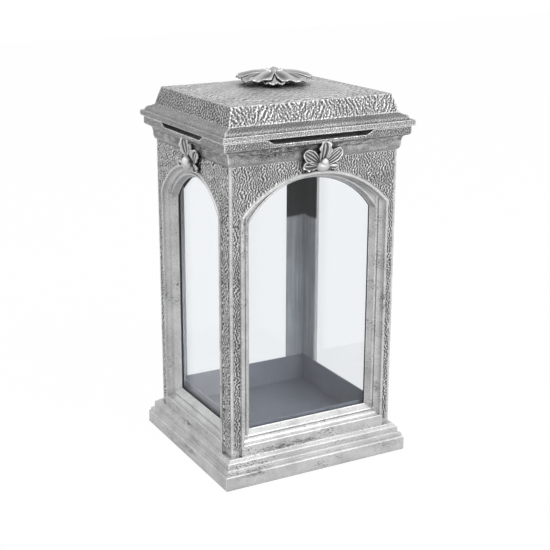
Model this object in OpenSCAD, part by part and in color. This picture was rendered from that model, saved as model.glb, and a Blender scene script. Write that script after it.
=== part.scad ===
// Candle lantern: a cast case with four arched windows and a lift-off lid.
// Millimetres, +Z up, front is -Y, origin at the centre of the footprint
// on the ground.

/* [Case] */
// Width of the case across the front wall
wall_w = 132; // [124:1:150]
// Depth of the case across the side wall
wall_d = 119; // [112:1:136]
// Height of the wall panels
panel_h = 209.1; // [190:0.1:230]
// Thickness of a wall panel behind its face
panel_t = 7; // [6:0.5:8]

/* [Plinth] */
// How far the plinth stands out from the wall on each side
base_out = 9; // [8:0.5:11]
// Height of the plinth
base_h = 21.2; // [18:0.1:23]

/* [Windows] */
// Plain margin beside a front window
front_margin = 7; // [6:0.5:9]
// Plain margin beside a side window
side_margin = 11; // [10:0.5:13]
// Height of the plain band under a sill
sill_foot = 6.6; // [5:0.1:8]
// Rise of the arch over its springing line
arch_rise = 27; // [25:0.5:28]
// Plain wall left over the top of the arch
arch_top = 9; // [8:0.5:11]
// How far the outer fillet of a moulding stands out
crest = 2.5; // [2:0.1:3]

/* [Glazing] */
// Thickness of the glass
glass_t = 3; // [2:0.5:3]
// Thickness of the seal between glass and casting
seal_t = 0.6; // [0.5:0.1:1]
// Gap round the side panes where they meet the front and back panes
glass_gap = 0.1; // [0.1:0.05:0.3]
// Thickness of the folded sheet parts
sheet_t = 1.2; // [1:0.1:1.5]

/* [Cornice] */
// Height of the cornice ring
cornice_h = 17; // [16.5:0.1:18]
// Depth of the vent notches in its upper edge
vent_h = 3.4; // [2.5:0.1:3.6]
// Length of a front or back vent notch
vent_w = 84; // [70:1:88]
// Length of a side vent notch
vent_d = 70; // [60:1:74]

/* [Lid] */
// Gap under the seated lid
lid_gap = 0.3; // [0.3:0.05:0.5]
// Height of the lid without its rosette
lid_h = 21.4; // [20:0.2:24]
// Wall thickness of the cast lid
lid_t = 3; // [2.5:0.1:3.5]
// Side clearance of the locating lugs
lug_gap = 0.8; // [0.5:0.1:1.2]
// Radius of the shallow dome on the lid
dome_r = 52; // [44:1:53]
// Rise of the dome
dome_rise = 2.4; // [1.6:0.2:3]

/* [Ornament] */
// Radius of the rosette over its lower leaves
rosette_r = 28; // [24:0.5:30]
// Radius of the berry in a keystone spray
berry_r = 3.6; // [3:0.1:4]

/* [Hidden] */
$fn = 64;
e = 0.01;
hw = wall_w / 2;
hd = wall_d / 2;
z_wall = base_h;
z_cor = z_wall + panel_h;
z_pad = z_cor + cornice_h;
z_lid = z_pad + lid_gap;
z_top = z_lid + lid_h;
in_x = hw - panel_t;
in_y = hd - panel_t;
gl_x = in_x - seal_t;
gl_y = in_y - seal_t;
room_x = gl_x - glass_t;
room_y = gl_y - glass_t;
floor_t = 1.5;
z_floor = z_wall + floor_t;
sill_w = 10;
z_sill = z_wall + sill_foot;
z_apex = z_cor - arch_top;
z_kink = z_apex - arch_rise;
skirt_h = 22;
skirt_low = 17.5;
skirt_top = z_wall + skirt_h;
skirt_front = z_wall + skirt_low;
slim_strip = [4.6, 5];
left_strip = [7, 10];
right_strip = [17, 17.5];
jamb_w = 10.3;
arch_w_f = 5.6;
arch_w_s = 9.8;
bed_w = 12;
bed_level = -2.9;
spring_drop = 4.2;
rod_r = 2;
rod_down = 8.6;
bolt_r = 1.6;
bolt_in = 8;
head_r = 3;
head_h = 1.8;
screw_play = 0.1;
hub_r = 7;
hub_h = 5;
button_r = 4.8;
leaf_w = 20;
leaf_t = 3.5;
leaf_up = 6.5;
petal_w = 25;
petal_t = 5;
petal_up = 13.6;
washer_r = 6;
washer_t = 1;
nut_r = 4;
nut_t = 3.2;
foot_h = 1.5;
foot_r = 6;
boss_r = 7.5;
spray_up = 6.6;
top_leaf = [17, 12, 4];
side_leaf = [16.5, 9.5, 4];
low_leaf = [13.5, 6.5, 3.4];
screw_x = hw - 12;
screw_y = hd - panel_t / 2;
z_seat = z_pad - vent_h - head_h - 0.2;

function mirrored(p) = concat(p, [for (i = [len(p) - 1 : -1 : 0])
    [-p[i][0], p[i][1]]]);
// A concave or convex quarter between two points of a profile.
function cove(a, b, n) = [for (i = [1 : n - 1])
    [a[0] + (b[0] - a[0]) * (1 - cos(90 * i / n)),
     a[1] + (b[1] - a[1]) * sin(90 * i / n)]];
function ovolo(a, b, n) = [for (i = [1 : n - 1])
    [a[0] + (b[0] - a[0]) * sin(90 * i / n),
     a[1] + (b[1] - a[1]) * (1 - cos(90 * i / n))]];

// A moulding that runs round the case and is mitred at its corners:
// each profile point is [distance out from the wall, height].
module mitred(p, px = hw, py = hd) {
    intersection() {
        rotate([90, 0, 0])
            linear_extrude(height = 4 * py, center = true)
                polygon(mirrored([for (q = p) [px + q[0], q[1]]]));
        rotate([90, 0, 90])
            linear_extrude(height = 4 * px, center = true)
                polygon(mirrored([for (q = p) [py + q[0], q[1]]]));
    }
}

module block(x0, x1, y0, y1, z0, z1) {
    translate([x0, y0, z0]) cube([x1 - x0, y1 - y0, z1 - z0]);
}

module at_corners(x, y) {
    for (sx = [-1, 1], sy = [-1, 1]) translate([sx * x, sy * y, 0])
        children();
}

// ---- plinth ----
o = base_out;
h = base_h;
base_p = concat([[o - 0.7, 0.8], [o, 1.5], [o, h - 10.4], [o - 0.5, h - 9.9],
    [o - 1.2, h - 9.5], [o - 1.3, h - 7.5]],
    ovolo([o - 1.3, h - 7.5], [o - 3.5, h - 6.2], 4),
    [[o - 3.5, h - 6.2]],
    cove([o - 3.5, h - 6.2], [o - 3.8, h - 2.4], 3),
    [[o - 3.7, h - 2.3], [o - 4.2, h - 1.8], [2.8, h - 0.4], [2.6, h]]);

// The plinth is hollow underneath, with a boss over each foot.
deck_z = base_h - 6;
foot_x = hw - 20;
foot_y = hd - 13.5;
module base_plinth() {
    color("silver") difference() {
        union() {
            difference() {
                mitred(base_p);
                mitred([[base_out - 4.5, -1], [base_out - 4.5, deck_z - 6],
                    [0.5, deck_z]]);
            }
            at_corners(foot_x, foot_y) translate([0, 0, foot_h])
                cylinder(r = boss_r, h = deck_z - foot_h + 1);
        }
        at_corners(screw_x, screw_y) translate([0, 0, deck_z - 1])
            cylinder(r = bolt_r, h = 9);
    }
}

module rubber_feet() {
    color("black") at_corners(foot_x, foot_y) cylinder(r = foot_r, h = foot_h);
}

module base_screws() {
    color("gray") at_corners(screw_x, screw_y) {
        translate([0, 0, deck_z - head_h]) cylinder(r = head_r, h = head_h);
        translate([0, 0, deck_z - e]) cylinder(r = bolt_r, h = 6 + bolt_in
            + e);
    }
}

module floor_plate() {
    color("dimgray")
        block(-in_x, in_x, -in_y, in_y, base_h, z_floor);
}

// ---- window frames ----
// Section of a moulding, from its outer edge inwards: a raised fillet,
// a splay that is slightly hollow, a groove, a bead and the glass edge.
function frame_p(w) = let (k = w - 1.9) concat(
    [[-0.5, -panel_t], [-0.5, -1], [0, -1], [0, crest - 0.5], [0.4, crest],
    [1.5, crest], [1.9, crest - 0.4]],
    cove([1.9, crest - 0.4], [1.9 + 0.38 * k, -2.2], 4),
    [[1.9 + 0.38 * k, -2.2], [1.9 + 0.43 * k, -2.9],
    [1.9 + 0.47 * k, -2.3], [1.9 + 0.56 * k, -2], [1.9 + 0.67 * k, -2.4],
    [1.9 + 0.75 * k, -3.5], [w - 0.3, -panel_t + 0.8], [w, -panel_t + 0.6],
    [w, -panel_t]]);

// Section of an arch, from its outer edge inwards: fillet, splay and the
// flat bed under the bead. w is the width of the arch at its top.
function arch_p(w) = let (splay = 1.9 + 0.38 * (w - 1.9)) concat(
    [[-0.5, -panel_t], [-0.5, -1], [0, -1], [0, crest - 0.5], [0.4, crest],
    [1.5, crest], [1.9, crest - 0.4]],
    cove([1.9, crest - 0.4], [splay, -2.2], 4),
    [[splay, -2.2], [splay + 0.3, bed_level], [bed_w, bed_level],
    [bed_w, -panel_t]]);
// Section of the bead along an arch's glass, from the glass line outwards.
bead_p = [[0, -panel_t], [0, -panel_t + 0.6], [0.3, -panel_t + 0.8],
    [1.2, -3.5], [1.6, -2.2], [2.2, -1.8], [2.9, -2], [3.2, bed_level],
    [3.2, -panel_t]];
bead_mid = 1.6;

// The wall in its own frame: X along the wall, Y up, Z outwards.
function circle_r(half, rise) = (half * half + rise * rise) / (2 * rise);
function arch_r(a) = circle_r(a, arch_rise);
// The glass line springs lower than the arch's outer edge.
function glass_r(a, w) =
    circle_r(a - jamb_w, arch_rise + spring_drop - w);

module opening_2d(a) {
    r = arch_r(a);
    intersection() {
        translate([-a, z_sill]) square([2 * a, z_apex - z_sill + 5]);
        union() {
            translate([0, z_apex - r]) circle(r = r, $fn = 128);
            translate([-a, z_sill]) square([2 * a, z_kink - z_sill]);
        }
    }
}

module glass_line_2d(a, w, inset = 0) {
    half = a - jamb_w - inset;
    r = glass_r(a, w);
    intersection() {
        translate([-half, z_sill + sill_w])
            square([2 * half, z_apex - z_sill]);
        union() {
            translate([0, z_apex - w - r]) circle(r = r - inset, $fn = 128);
            translate([-a, z_sill]) square([2 * a, z_kink - 12 - z_sill]);
        }
    }
}

// Everything above the height z, as wide as the window.
module above(a, z) {
    translate([-a, z, -panel_t - 1])
        cube([2 * a, z_cor - z, panel_t + crest + 2]);
}

module arch_moulding(a, w) {
    r = arch_r(a);
    rg = glass_r(a, w);
    zg = z_apex - w - rg;
    difference() {
        intersection() {
            translate([0, z_apex - r, 0]) rotate_extrude($fn = 128)
                polygon([for (q = arch_p(w)) [r - q[0], q[1]]]);
            above(a, z_kink - spring_drop);
        }
        translate([0, zg, -panel_t - 1])
            cylinder(r = rg + bead_mid, h = panel_t + crest + 2, $fn = 128);
    }
    intersection() {
        translate([0, zg, 0]) rotate_extrude($fn = 128)
            polygon([for (q = bead_p) [rg + q[0], q[1]]]);
        above(a, z_kink - spring_drop - 1);
    }
}

module frame_moulding(a, w) {
    // jambs
    intersection() {
        for (s = [0, 1]) mirror([s, 0, 0])
            translate([0, z_sill, 0]) rotate([-90, 0, 0])
                linear_extrude(height = z_apex - z_sill)
                    polygon([for (q = frame_p(jamb_w)) [a - q[0], -q[1]]]);
        translate([0, 0, -panel_t]) linear_extrude(height = panel_t + crest)
            opening_2d(a);
    }
    // sill
    translate([-a, 0, 0]) rotate([90, 0, 90])
        linear_extrude(height = 2 * a)
            polygon([for (q = frame_p(sill_w)) [z_sill + q[0], q[1]]]);
    // plain band from the sill down to the plinth
    translate([-a, 0, 0]) rotate([90, 0, 90])
        linear_extrude(height = 2 * a)
            polygon([[z_wall, -1], [z_wall, crest], [z_sill + 1, crest],
                [z_sill + 1, -1]]);
    arch_moulding(a, w);
}

// half = half the width of the casting, a = half the outer window width,
// w = width of the arch at its top.
module wall_panel(half, a, w) {
    union() {
        translate([0, 0, -panel_t]) linear_extrude(height = panel_t)
            difference() {
                translate([-half, z_wall]) square([2 * half, panel_h]);
                opening_2d(a);
            }
        frame_moulding(a, w);
    }
}

fa = hw - front_margin;
sa = hd - side_margin;

module on_front() { translate([0, -hd, 0]) rotate([90, 0, 0]) children(); }
module on_back() { rotate([0, 0, 180]) on_front() children(); }
module on_left() {
    translate([-hw, 0, 0]) rotate([0, 0, -90]) rotate([90, 0, 0])
        children();
}
module on_right() { rotate([0, 0, 180]) on_left() children(); }

module screw_bores() {
    for (sx = [-1, 1]) translate([sx * screw_x, 0, -panel_t / 2])
        rotate([-90, 0, 0]) {
            translate([0, 0, z_wall - 1]) cylinder(r = bolt_r,
                h = bolt_in + 1);
            translate([0, 0, z_cor - bolt_in]) cylinder(r = bolt_r,
                h = bolt_in + 1);
        }
}

module long_panel() {
    color("silver") difference() {
        wall_panel(hw, fa, arch_w_f);
        screw_bores();
    }
}
module short_panel() {
    color("silver") wall_panel(in_y, sa, arch_w_s);
}
module front_panel() { on_front() long_panel(); }
module back_panel() { on_back() long_panel(); }
module left_panel() { on_left() short_panel(); }
module right_panel() { on_right() short_panel(); }

// ---- glass and its seals ----
z_glass = z_cor - 4;
module pane(half) {
    color("lightblue") translate([-half, z_floor, -panel_t - seal_t
        - glass_t]) cube([2 * half, z_glass - z_floor, glass_t]);
}
module seal(half, a, w) {
    color("black") translate([0, 0, -panel_t - seal_t])
        linear_extrude(height = seal_t) difference() {
            translate([-half, z_floor])
                square([2 * half, z_glass - z_floor]);
            intersection() {
                glass_line_2d(a, w, 0.4);
                translate([-a, z_sill + sill_w + 0.4])
                    square([2 * a, z_apex]);
            }
        }
}
module front_glass() { on_front() pane(gl_x); }
module back_glass() { on_back() pane(gl_x); }
module left_glass() { on_left() pane(room_y - glass_gap); }
module right_glass() { on_right() pane(room_y - glass_gap); }
module front_seal() { on_front() seal(in_x, fa, arch_w_f); }
module back_seal() { on_back() seal(in_x, fa, arch_w_f); }
module left_seal() { on_left() seal(gl_y, sa, arch_w_s); }
module right_seal() { on_right() seal(gl_y, sa, arch_w_s); }

// ---- folded strips that hold the panes ----
// leg = [length along X, length along Y]
module strip(sx, sy, leg) {
    color("dimgray") mirror([sx > 0 ? 1 : 0, 0, 0])
        mirror([0, sy > 0 ? 1 : 0, 0]) difference() {
            block(-room_x, -room_x + leg[0], -room_y, -room_y + leg[1],
                z_floor, z_cor);
            block(-room_x + sheet_t, hw, -room_y + sheet_t, hd,
                z_floor - 1, z_cor + 1);
        }
}
module strip_front_left() { strip(-1, -1, slim_strip); }
module strip_front_right() { strip(1, -1, slim_strip); }
module strip_back_left() { strip(-1, 1, left_strip); }
module strip_back_right() { strip(1, 1, right_strip); }

module glass_skirt() {
    sx = room_x - sheet_t;
    sy = room_y - sheet_t;
    color("dimgray") difference() {
        block(-sx, sx, -sy, sy, z_floor, skirt_top);
        block(-sx + sheet_t, sx - sheet_t, -sy + sheet_t, sy - sheet_t,
            z_floor - 1, skirt_top + 1);
        // the front is lower, so that it stays behind the sill
        block(-sx + sheet_t, sx - sheet_t, -sy - 1, 0, skirt_front,
            skirt_top + 1);
    }
}

// ---- cornice ----
c = z_cor;
cor_p = concat([[-0.5, c], [0.2, c]],
    ovolo([0.2, c], [1.6, c + 2.6], 3),
    [[1.8, c + 2.6], [1.9, c + 6.2], [2.2, c + 6.8]],
    cove([2.2, c + 6.8], [5.4, c + 10.4], 5),
    [[6.2, c + 11], [6.9, c + 11.5], [6.9, c + cornice_h]]);

module vent(len, out) {
    rotate([90, 0, 0]) translate([0, 0, out - 30])
        linear_extrude(height = 60)
            polygon([[-len / 2, z_pad + 1], [-len / 2, z_pad],
                [-len / 2 + 6, z_pad - vent_h],
                [len / 2 - 6, z_pad - vent_h], [len / 2, z_pad],
                [len / 2, z_pad + 1]]);
}

module cornice_ring() {
    color("silver") difference() {
        mitred(cor_p);
        block(-in_x, in_x, -in_y, in_y, z_cor - 1, z_pad + 1);
        for (r = [0, 180]) rotate([0, 0, r]) {
            vent(vent_w, hd);
            rotate([0, 0, 90]) vent(vent_d, hw);
        }
        at_corners(screw_x, screw_y) {
            translate([0, 0, z_cor - 1])
                cylinder(r = bolt_r + screw_play, h = cornice_h);
            translate([0, 0, z_seat])
                cylinder(r = head_r + screw_play, h = cornice_h);
        }
    }
}

module cornice_screws() {
    color("gray") at_corners(screw_x, screw_y) {
        translate([0, 0, z_seat]) cylinder(r = head_r, h = head_h);
        translate([0, 0, z_cor - bolt_in]) cylinder(r = bolt_r,
            h = bolt_in + z_seat - z_cor + e);
    }
}

// ---- keystone sprays ----
// A leaf is the part that two discs have in common, capped by a ball,
// with its stalk at the origin and its tip along +Y.
module leaf(p) {
    l = p[0];
    w = p[1];
    t = p[2];
    r = (l * l + w * w) / (4 * w);
    rs = (l * l / 4 + t * t) / (2 * t);
    intersection() {
        translate([r - w / 2, l / 2, -2]) cylinder(r = r, h = t + 4);
        translate([-r + w / 2, l / 2, -2]) cylinder(r = r, h = t + 4);
        translate([0, l / 2, t - rs]) sphere(r = rs);
    }
}

// dx sets the spray off the middle of its wall.
module spray(dx = 0) {
    zb = z_apex + spray_up;
    difference() {
        translate([dx, 0, 0]) union() {
            translate([0, zb, 2.6]) sphere(r = berry_r);
            translate([0, zb - 3, 0.8]) sphere(r = berry_r + 1.4);
            translate([0, zb, 1]) rotate([24, 0, 0]) leaf(top_leaf);
            for (s = [0, 1]) mirror([s, 0, 0]) {
                translate([1.5, zb - 0.5, 1.4]) rotate([0, 0, -58])
                    rotate([16, 0, 0]) leaf(side_leaf);
                translate([2.5, zb - 3.5, 0.6]) rotate([0, 0, -98])
                    rotate([6, 0, 0]) leaf(low_leaf);
            }
        }
        // seat on the wall, the arch fillet and the cornice
        translate([-40, z_cor - 60, -20]) cube([80, 70, 20]);
        translate([0, z_apex - arch_r(fa), -1])
            cylinder(r = arch_r(fa), h = crest + 1, $fn = 128);
        translate([-40, 0, 0]) rotate([90, 0, 90])
            linear_extrude(height = 80) polygon(concat(
                [for (q = cor_p) [q[1], q[0]]],
                [[c + cornice_h, -20], [c, -20]]));
    }
}
module side_spray() {
    difference() {
        spray();
        translate([0, z_apex - arch_r(sa), -1])
            cylinder(r = arch_r(sa), h = crest + 1, $fn = 128);
    }
}
module spray_front() { color("silver") on_front() spray(2.5); }
module spray_back() { color("silver") on_back() spray(); }
module spray_left() { color("silver") on_left() side_spray(); }
module spray_right() { color("silver") on_right() side_spray(); }

// ---- lid ----
l = z_lid;
lo = base_out;
function lid_p(d) = concat([[lo - 0.4, l], [lo, l + 0.4], [lo, l + 3.5],
    [lo - 0.4, l + 3.9], [lo - 2.6, l + 4.2]],
    cove([lo - 2.6, l + 4.2], [lo - 6.1, l + 7.3], 5),
    [[lo - 6.4, l + 7.7], [lo - 7.2, l + 8], [0.6, l + 8.5],
    [-1.4, l + lid_h * 0.72], [-3.3, l + lid_h]]);

module lid_shell() {
    color("silver") union() {
        difference() {
            union() {
                mitred(lid_p(0));
                dome(z_top, dome_r, dome_rise);
            }
            // the inside follows the outside at the wall thickness
            mitred([[lo - 5, l - 1], [lo - 5, l + 1.5], [0.8, l + 6],
                [-2.6, l + 9], [-6, z_top - lid_t]]);
            translate([0, 0, z_top - 10]) cylinder(r = rod_r + 0.1, h = 20);
        }
        lugs();
    }
}
module dome(z, r, h) {
    R = (r * r + h * h) / (2 * h);
    intersection() {
        translate([0, 0, z + h - R]) sphere(r = R, $fn = 160);
        translate([0, 0, z - 1]) cylinder(r = r, h = h + 1, $fn = 128);
    }
}
// Four angle lugs drop inside the cornice and place the lid.
module lugs() {
    x = in_x - lug_gap;
    y = in_y - lug_gap;
    for (sx = [0, 1], sy = [0, 1]) mirror([sx, 0, 0]) mirror([0, sy, 0])
        difference() {
            block(x - 12, x, y - 12, y, z_pad - 5, z_top - lid_t + 1);
            block(x - 20, x - 2.5, y - 20, y - 2.5, z_pad - 6, z_top + 8);
        }
}

// ---- rosette ----
zr = z_top + dome_rise;
z_hub = zr + hub_h - 1;
// A petal is a thin domed leaf that droops from the middle of the flower.
module petal(len, w, t, skin, droop, a, z) {
    rs = (len * len / 4 + t * t) / (2 * t);
    rotate([0, 0, a]) translate([0, 0, z]) rotate([-droop, 0, 0])
        translate([0, 0, -t]) difference() {
            leaf([len, w, t]);
            translate([0, len / 2, t - rs]) sphere(r = rs - skin);
        }
}
module flower(n, turn, len, w, t, droop, z) {
    for (i = [0 : n - 1])
        petal(len, w, t, 1.8, droop, 360 / n * i + turn, z);
}
module rosette_leaves() {
    color("silver") difference() {
        union() {
            translate([0, 0, zr - 1]) cylinder(r = hub_r + 1, h = hub_h);
            flower(5, 153, rosette_r, leaf_w, leaf_t, 2, zr + leaf_up);
        }
        dome(z_top, dome_r, dome_rise);
        translate([0, 0, zr - 5]) cylinder(r = rod_r + 0.1, h = 20);
        translate([0, 0, z_hub]) cylinder(r = hub_r, h = 20);
    }
}
module rosette_petals() {
    color("silver") difference() {
        union() {
            translate([0, 0, z_hub]) cylinder(r = hub_r - 0.1, h = hub_h);
            flower(5, 117, rosette_r - 1, petal_w, petal_t, 6,
                zr + petal_up);
        }
        translate([0, 0, zr - 5]) cylinder(r = rod_r + 0.1, h = 20);
        translate([0, 0, z_hub + hub_h]) cylinder(r = hub_r, h = 20);
    }
}
module rosette_button() {
    color("silver") union() {
        difference() {
            translate([0, 0, z_hub + hub_h]) sphere(r = button_r);
            translate([0, 0, z_hub - hub_h])
                cylinder(r = 2 * button_r, h = 2 * hub_h);
        }
        translate([0, 0, z_top - rod_down]) cylinder(r = rod_r,
            h = z_hub + hub_h - z_top + rod_down + e);
    }
}
module lid_washer() {
    color("gray") difference() {
        translate([0, 0, z_top - lid_t - washer_t])
            cylinder(r = washer_r, h = washer_t);
        translate([0, 0, z_top - 20]) cylinder(r = rod_r, h = 30);
    }
}
module lid_nut() {
    color("gray") difference() {
        translate([0, 0, z_top - lid_t - washer_t - nut_t])
            cylinder(r = nut_r, h = nut_t, $fn = 6);
        translate([0, 0, z_top - 20]) cylinder(r = rod_r, h = 30);
    }
}

base_plinth();
rubber_feet();
base_screws();
floor_plate();
front_panel();
back_panel();
left_panel();
right_panel();
front_glass();
back_glass();
left_glass();
right_glass();
front_seal();
back_seal();
left_seal();
right_seal();
strip_front_left();
strip_front_right();
strip_back_left();
strip_back_right();
glass_skirt();
cornice_ring();
cornice_screws();
spray_front();
spray_back();
spray_left();
spray_right();
lid_shell();
rosette_leaves();
rosette_petals();
rosette_button();
lid_washer();
lid_nut();
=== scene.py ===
"""Looks of the candle lantern: cast walls and lid with their hammered
texture, leaf ornaments, clear panes and a dark inside.

Shapes are worked out in millimetres and scaled to metres when a mesh is made.
"""

import math

import bpy
import numpy as np
from mathutils import Matrix, Vector


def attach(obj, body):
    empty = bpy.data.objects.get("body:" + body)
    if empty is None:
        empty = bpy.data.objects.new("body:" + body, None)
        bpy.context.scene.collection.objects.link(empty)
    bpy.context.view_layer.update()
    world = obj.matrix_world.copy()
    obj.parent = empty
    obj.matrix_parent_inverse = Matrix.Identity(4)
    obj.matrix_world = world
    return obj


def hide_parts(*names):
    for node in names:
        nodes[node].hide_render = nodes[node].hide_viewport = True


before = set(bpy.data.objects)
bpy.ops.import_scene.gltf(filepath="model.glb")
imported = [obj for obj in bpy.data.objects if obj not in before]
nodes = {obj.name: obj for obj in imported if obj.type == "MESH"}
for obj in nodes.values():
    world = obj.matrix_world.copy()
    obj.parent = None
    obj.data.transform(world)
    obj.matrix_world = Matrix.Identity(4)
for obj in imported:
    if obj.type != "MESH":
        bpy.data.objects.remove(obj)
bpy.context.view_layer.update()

MM = 0.001

# Sizes of the solids in part.scad, in millimetres.
HW, HD = 66.0, 59.5  # half the case's width and depth
WALL_Z = 21.2  # the wall's foot, on the plinth
COR_Z, PAD_Z = 230.3, 247.3  # the cornice's foot and its top
LID_Z, TOP_Z = 247.6, 269.0  # the lid's lower edge and its top
LID_H, LID_T = 21.4, 3  # the lid's height and the thickness of its top
LUG_W, LUG_T, LUG_DOWN = 12, 2.5, 5  # the lugs under the lid
LUG_GAP = 0.8  # from a lug to the panels
KINK_Z, APEX_Z = 194.3, 221.3  # where a window's arch begins and ends
ARCH_RISE = APEX_Z - KINK_Z
FRONT_HALF, SIDE_HALF = 59.0, 48.5  # half the outer width of a window
PANEL_T = 7.0  # the walls' thickness
VENT_H, VENT_FRONT, VENT_SIDE, VENT_SLOPE = 3.4, 42.0, 35.0, 6.0  # depth, half widths, ends
DOME_RISE = 2.4  # the dome that the rosette stands on
RIM = 9.0  # how far the plinth and the lid stand out from the wall

# Sizes and steps of what is drawn here, in millimetres.
CROWN_R, CROWN_RISE = 55.0, 4.6  # the lid's dome as the photograph shows it
CROWN_STEP, CROWN_STEP_W = 0.4, 2.5  # the low step round its foot
LID_INSET = 3.3  # from the wall's plane back to the lid's top edge
SLOPE_FOOT = (0.6, 8.5)  # where the lid's slope ends, out from the wall and up
PROUD = 0.1  # from the cornice's casting out to its drawn face
STEPS_X, STEPS_Y = 260, 236  # steps along the case's front and its side
SKIN_DX, SKIN_DZ = 0.36, 0.42  # steps of the hammered skin, across and up
ARRIS = 1.3  # the strip by an upright corner where hammering ends
SIDE_SHIFT = 400.0  # moves a texture on from side to side
RUBBED = 0.85  # the relief of a bright edge; 0 is a furrow
LEAF_T = 1.5  # the thickness of a leaf or petal in its middle
BURIED_Z = -0.8  # how deep a spray goes into the wall
POD_UP = 6.6  # from a window's apex to the pod of the spray over it

# The photograph's camera, where px are the photograph's pixels.
PHOTO_PX, FOCAL_PX = 550, 1170.5
AXIS_SHIFT_PX = 40  # how far left of the middle the optical axis is
SENSOR_MM = 36.0
CAMERA_PLACE = (-405.222, -731.130, 387.973)  # in millimetres
CAMERA_FORWARD, CAMERA_RIGHT = (0.4345083, 0.8514181, -0.2937511), (0.8907, -0.4546, 0.0)
CAMERA_ROLL = 0.3977  # in degrees

# The studio; lengths are in metres.
SKY = 0.5  # the background's light, next to 1 where it is seen
PAPER = (0.86, 0.86, 0.87, 1)
PAPER_GLOW = 0.98  # the share of plain white in the paper, where it is seen
PAPER_HALF = 3.0
LANTERN_MIDDLE = (0, 0, 0.14)


# ---- camera, light and stage ----


def make_camera():
    """The photograph's view."""
    forward = Vector(CAMERA_FORWARD).normalized()
    right = Vector(CAMERA_RIGHT).normalized()
    up = right.cross(forward)
    roll = math.radians(CAMERA_ROLL)
    x = right * math.cos(roll) - up * math.sin(roll)
    y = right * math.sin(roll) + up * math.cos(roll)
    rotation = Matrix((x, y, -forward)).transposed()
    data = bpy.data.cameras.new("camera")
    data.sensor_width = SENSOR_MM
    data.lens = FOCAL_PX / PHOTO_PX * SENSOR_MM
    data.shift_x = AXIS_SHIFT_PX / PHOTO_PX
    data.clip_start, data.clip_end = 0.05, 20.0
    camera = bpy.data.objects.new("camera", data)
    camera.matrix_world = Matrix.Translation(Vector(CAMERA_PLACE) * MM) @ rotation.to_4x4()
    bpy.context.scene.collection.objects.link(camera)
    bpy.context.scene.camera = camera


def white_to_seen_rays(tree):
    """1 for rays that show the background: camera, mirror and glass rays."""
    path = tree.nodes.new("ShaderNodeLightPath")
    seen = path.outputs["Is Camera Ray"]
    for ray in ("Is Glossy Ray", "Is Transmission Ray"):
        seen = math_node(tree, "ADD", seen, path.outputs[ray], clamp=True)
    return seen


def make_world():
    """White where it is seen, and dimmer as a light."""
    world = bpy.data.worlds.new("studio")
    bpy.context.scene.world = world
    world.use_nodes = True
    tree = world.node_tree
    background = tree.nodes["Background"]
    background.inputs["Color"].default_value = (1, 1, 1, 1)
    strength = tree.nodes.new("ShaderNodeMapRange")
    strength.inputs["To Min"].default_value = SKY
    strength.inputs["To Max"].default_value = 1.0
    tree.links.new(white_to_seen_rays(tree), strength.inputs["Value"])
    tree.links.new(strength.outputs[0], background.inputs["Strength"])


def make_floor():
    """Paper that is seen as plain white and lights the part as paper does."""
    signs = ((-1, -1), (1, -1), (1, 1), (-1, 1))
    corners = [(x * PAPER_HALF, y * PAPER_HALF, 0) for x, y in signs]
    mesh = bpy.data.meshes.new("floor")
    mesh.from_pydata(corners, [], [(0, 1, 2, 3)])
    floor = bpy.data.objects.new("floor", mesh)
    bpy.context.scene.collection.objects.link(floor)
    material = bpy.data.materials.new("floor")
    material.use_nodes = True
    tree = material.node_tree
    tree.nodes.clear()
    out = tree.nodes.new("ShaderNodeOutputMaterial")
    paper = tree.nodes.new("ShaderNodeBsdfDiffuse")
    paper.inputs["Color"].default_value = PAPER
    glow = tree.nodes.new("ShaderNodeEmission")
    mix = tree.nodes.new("ShaderNodeMixShader")
    share = math_node(tree, "MULTIPLY", white_to_seen_rays(tree), PAPER_GLOW)
    tree.links.new(share, mix.inputs[0])
    tree.links.new(paper.outputs[0], mix.inputs[1])
    tree.links.new(glow.outputs[0], mix.inputs[2])
    tree.links.new(mix.outputs[0], out.inputs["Surface"])
    mesh.materials.append(material)


def make_lamp(name, place, target, size, power):
    """A square lamp that points at target."""
    data = bpy.data.lights.new(name, "AREA")
    data.size, data.energy = size, power
    lamp = bpy.data.objects.new(name, data)
    lamp.location = place
    aim = Vector(target) - Vector(place)
    lamp.rotation_mode = "QUATERNION"
    lamp.rotation_quaternion = aim.to_track_quat("-Z", "Y")
    bpy.context.scene.collection.objects.link(lamp)


# ---- noise ----


HASH_X, HASH_Y, HASH_SEED, HASH_MIX = 374761393, 668265263, 144665, 1274126177
LOW_32, LOW_16 = 0xFFFFFFFF, 0xFFFF


def lattice(ix, iy, seed):
    """A repeatable number from 0 to 1 for each whole-number point."""
    h = (ix * HASH_X + iy * HASH_Y + seed * HASH_SEED) & LOW_32
    h = ((h ^ (h >> 13)) * HASH_MIX) & LOW_32
    return ((h ^ (h >> 16)) & LOW_16) / LOW_16


def noise(x, y, seed):
    """Gradient noise, about -1 to 1, one bump to a unit."""
    x0, y0 = np.floor(x).astype(np.int64), np.floor(y).astype(np.int64)
    fx, fy = x - x0, y - y0
    ux = fx * fx * fx * (fx * (fx * 6 - 15) + 10)
    uy = fy * fy * fy * (fy * (fy * 6 - 15) + 10)

    def corner(dx, dy):
        a = lattice(x0 + dx, y0 + dy, seed) * 2 * math.pi
        return np.cos(a) * (fx - dx) + np.sin(a) * (fy - dy)

    low = corner(0, 0) * (1 - ux) + corner(1, 0) * ux
    high = corner(0, 1) * (1 - ux) + corner(1, 1) * ux
    return (low * (1 - uy) + high * uy) * 1.5


def smooth(low, high, x):
    """0 at low and 1 at high, with a soft start and end."""
    t = np.clip((x - low) / (high - low), 0, 1)
    return t * t * (3 - 2 * t)


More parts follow.
